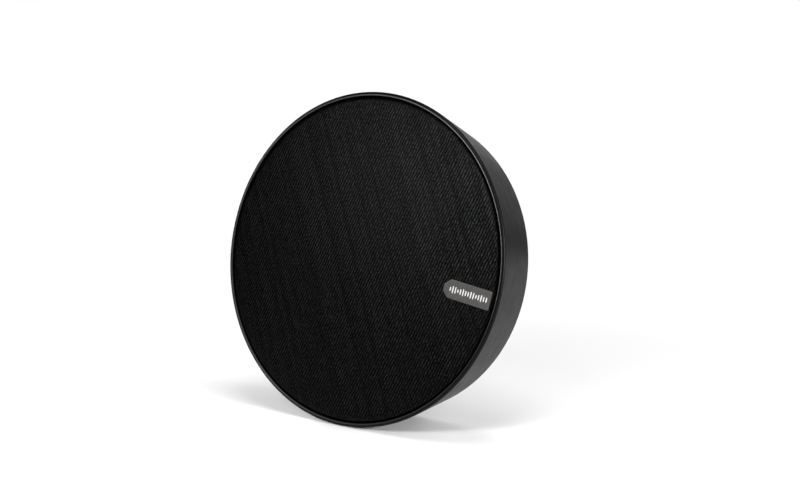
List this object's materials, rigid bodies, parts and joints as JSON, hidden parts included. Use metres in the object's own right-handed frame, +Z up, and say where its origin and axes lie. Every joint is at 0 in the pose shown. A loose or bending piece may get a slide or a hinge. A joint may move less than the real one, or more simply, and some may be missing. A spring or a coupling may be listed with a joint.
{
  "type": "round wall loudspeaker",
  "caption": "Round networked wall loudspeaker: tapered cabinet, cloth grille, woofer and tweeter, twist-lock wall plate and recessed connectors.",
  "frame": {"origin": "centre of the wall plate's back face, on the wall", "axes": "+Y into the wall along the round axis, so the grille faces -Y; +Z up; +X to the right seen from the front, where the name tag is"},
  "size_m": [0.28, 0.0643, 0.28],
  "materials": {
    "cabinet_paint": "satin dark grey paint",
    "grille_cloth": "black acoustic cloth, twill weave",
    "tag_cloth": "grey woven tape",
    "black_plastic": "fine texture",
    "connector_plastic": "satin",
    "rocker_plastic": "gloss",
    "baffle_board": "black painted fibreboard",
    "black_rubber": "matt",
    "screw_black": "black oxide",
    "screw_zinc": "zinc",
    "brass_insert": "machined",
    "magnet_nickel": "nickel plated",
    "catch_steel": "zinc plated",
    "basket_paint": "black powder coat",
    "cone_paper": "coated black paper",
    "cap_gloss": "satin gloss",
    "former_aluminium": "plain",
    "copper_wire": "enamelled copper",
    "spider_cloth": "resin treated cloth",
    "zinc_steel": "zinc plated",
    "ferrite": "sintered",
    "dome_silk": "coated silk",
    "circuit_green": "solder mask",
    "chip_black": "matt",
    "shield_tin": "tin plated",
    "heatsink_aluminium": "extruded",
    "winding_tape": "polyester tape",
    "capacitor_sleeve": "sleeve",
    "plug_ivory": "satin",
    "light_acrylic": "frosted acrylic",
    "white_wadding": "polyester fibre",
    "wire_jacket": "soft",
    "contact_gold": "plated",
    "plate_steel": "black powder coat"
  },
  "bodies": {
    "wall_mount": {"wall_plate": "plate_steel"},
    "grille": {"grille_frame": "black_plastic", "grille_fabric": "grille_cloth", "grille_magnets": "magnet_nickel", "name_tag": "tag_cloth"},
    "woofer_drive": {"woofer_cone": "cone_paper", "dust_cap": "cap_gloss", "coil_former": "former_aluminium", "voice_coil": "copper_wire"},
    "tweeter_drive": {"tweeter_dome": "dome_silk", "tweeter_coil": "copper_wire"},
    "rocker": {"power_rocker": "rocker_plastic"},
    "pair_key": {"pair_button": "rocker_plastic"},
    "reset_key": {"reset_button": "rocker_plastic"},
    "cabinet": {"amplifier_chip": "chip_black", "amplifier_heatsink": "heatsink_aluminium", "antennas": "circuit_green", "baffle": "baffle_board", "baffle_gasket": "black_rubber", "baffle_screws": "screw_black", "bass_port": "black_plastic", "board_plugs": "plug_ivory", "button_switches": "chip_black", "cabinet_shell": "cabinet_paint", "capacitors": "capacitor_sleeve", "connector_panel": "black_plastic", "damping_wadding": "white_wadding", "driver_screws": "screw_black", "grille_catches": "catch_steel", "harness_wires": "wire_jacket", "io_board": "circuit_green", "line_socket": "connector_plastic", "main_board": "circuit_green", "network_module": "shield_tin", "network_socket": "connector_plastic", "output_inductors": "ferrite", "power_board": "circuit_green", "power_inlet": "connector_plastic", "rocker_housing": "connector_plastic", "small_screws": "screw_zinc", "socket_contacts": "contact_gold", "spider": "spider_cloth", "status_light_board": "circuit_green", "status_light_guide": "light_acrylic", "threaded_inserts": "brass_insert", "transformer_core": "ferrite", "transformer_winding": "winding_tape", "tweeter_cup": "zinc_steel", "tweeter_faceplate": "black_plastic", "tweeter_magnet": "magnet_nickel", "tweeter_pole": "zinc_steel", "tweeter_surround": "dome_silk", "wall_bumpers": "black_rubber", "woofer_basket": "basket_paint", "woofer_gasket": "black_rubber", "woofer_magnet": "ferrite", "woofer_surround": "black_rubber", "woofer_terminals": "connector_plastic", "woofer_top_plate": "zinc_steel", "woofer_yoke": "zinc_steel"}
  },
  "joints": [
    {"name": "wall_twist", "type": "hinge", "parent": "wall_mount", "child": "cabinet", "pos_m": [0, 0, 0], "axis": [0, 1, 0], "range_deg": [0, 45]},
    {"name": "grille_pull", "type": "slide", "parent": "cabinet", "child": "grille", "axis": [0, -1, 0], "range_m": [0, 0.06]},
    {"name": "woofer_stroke", "type": "slide", "parent": "cabinet", "child": "woofer_drive", "axis": [0, -1, 0], "range_m": [-0.004, 0.004], "stiffness_N_per_m": 1200, "deforming": ["woofer_surround", "spider"]},
    {"name": "tweeter_stroke", "type": "slide", "parent": "cabinet", "child": "tweeter_drive", "axis": [0, -1, 0], "range_m": [-0.0005, 0.0005], "stiffness_N_per_m": 200, "deforming": ["tweeter_surround"]},
    {"name": "power_switch", "type": "hinge", "parent": "cabinet", "child": "rocker", "pos_m": [-0.003, -0.0195, -0.101], "axis": [0, 0, 1], "range_deg": [0, 14]},
    {"name": "pair_press", "type": "slide", "parent": "cabinet", "child": "pair_key", "axis": [0, -1, 0], "range_m": [0, 0.001], "stiffness_N_per_m": 250},
    {"name": "reset_press", "type": "slide", "parent": "cabinet", "child": "reset_key", "axis": [0, -1, 0], "range_m": [0, 0.001], "stiffness_N_per_m": 250}
  ]
}
